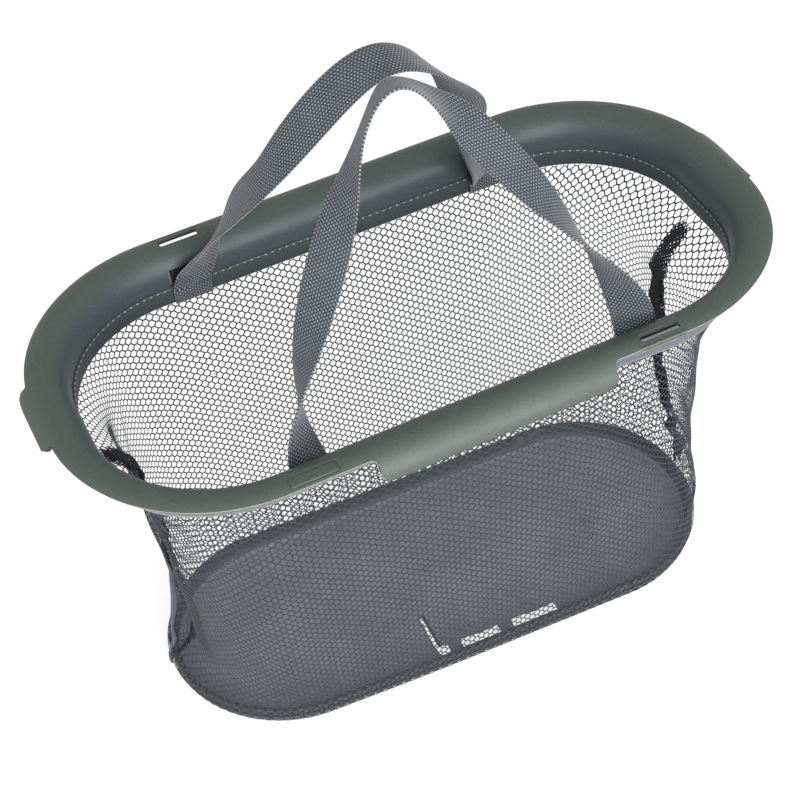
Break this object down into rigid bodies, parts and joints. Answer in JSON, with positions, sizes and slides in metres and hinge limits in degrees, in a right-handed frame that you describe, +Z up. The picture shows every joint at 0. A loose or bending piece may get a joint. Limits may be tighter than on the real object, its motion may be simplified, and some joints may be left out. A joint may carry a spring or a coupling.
{
  "type": "folding mesh basket",
  "caption": "Open-topped folding mesh basket with a moulded foam rim, a shallow drained tray base and twisted webbing handles that meet above the mouth.",
  "frame": {"origin": "middle of the tray's underside, on the ground", "axes": "+Z up, +X along the length, the rim's long flap faces -Y"},
  "size_m": [0.4606, 0.2459, 0.4163],
  "materials": {
    "moulded_foam": "satin, fine moulded skin",
    "felt_backing": "matt laminated felt",
    "blank_inlay": "satin, bare",
    "facing_band": "satin",
    "seam_thread": "twisted thread",
    "handle_webbing": "woven webbing",
    "knotless_mesh": "open knotless mesh",
    "binding_tape": "woven tape",
    "hem_strip": "satin",
    "tray_foam": "satin, fine moulded skin"
  },
  "bodies": {
    "base": {"base_tray": "tray_foam", "base_lining": "felt_backing", "base_seam_thread": "seam_thread", "left_hem_strip": "hem_strip", "front_mesh_panel": "knotless_mesh", "back_mesh_panel": "knotless_mesh", "left_inner_seam_tape": "binding_tape", "left_outer_seam_tape": "binding_tape", "right_inner_seam_tape": "binding_tape", "right_outer_seam_tape": "binding_tape"},
    "rim": {"rim": "moulded_foam", "rim_backing": "felt_backing", "blank_badge": "blank_inlay", "mesh_retaining_band": "facing_band", "rim_seam_thread": "seam_thread", "front_left_strap_end": "handle_webbing", "front_right_strap_end": "handle_webbing", "back_left_strap_end": "handle_webbing", "back_right_strap_end": "handle_webbing"},
    "front_handle": {"front_handle_strap": "handle_webbing"},
    "back_handle": {"back_handle_strap": "handle_webbing"}
  },
  "joints": [
    {"name": "rim_fold", "type": "slide", "parent": "base", "child": "rim", "axis": [0, 0, -1], "range_m": [0, 0.223], "deforming": ["front_mesh_panel", "back_mesh_panel", "left_inner_seam_tape", "left_outer_seam_tape", "right_inner_seam_tape", "right_outer_seam_tape", "left_hem_strip"]},
    {"name": "front_handle_swing", "type": "hinge", "parent": "rim", "child": "front_handle", "pos_m": [0, -0.07983, 0.27], "axis": [1, 0, 0], "range_deg": [0, 100]},
    {"name": "back_handle_swing", "type": "hinge", "parent": "rim", "child": "back_handle", "pos_m": [0, 0.07983, 0.27], "axis": [-1, 0, 0], "range_deg": [0, 85]}
  ]
}
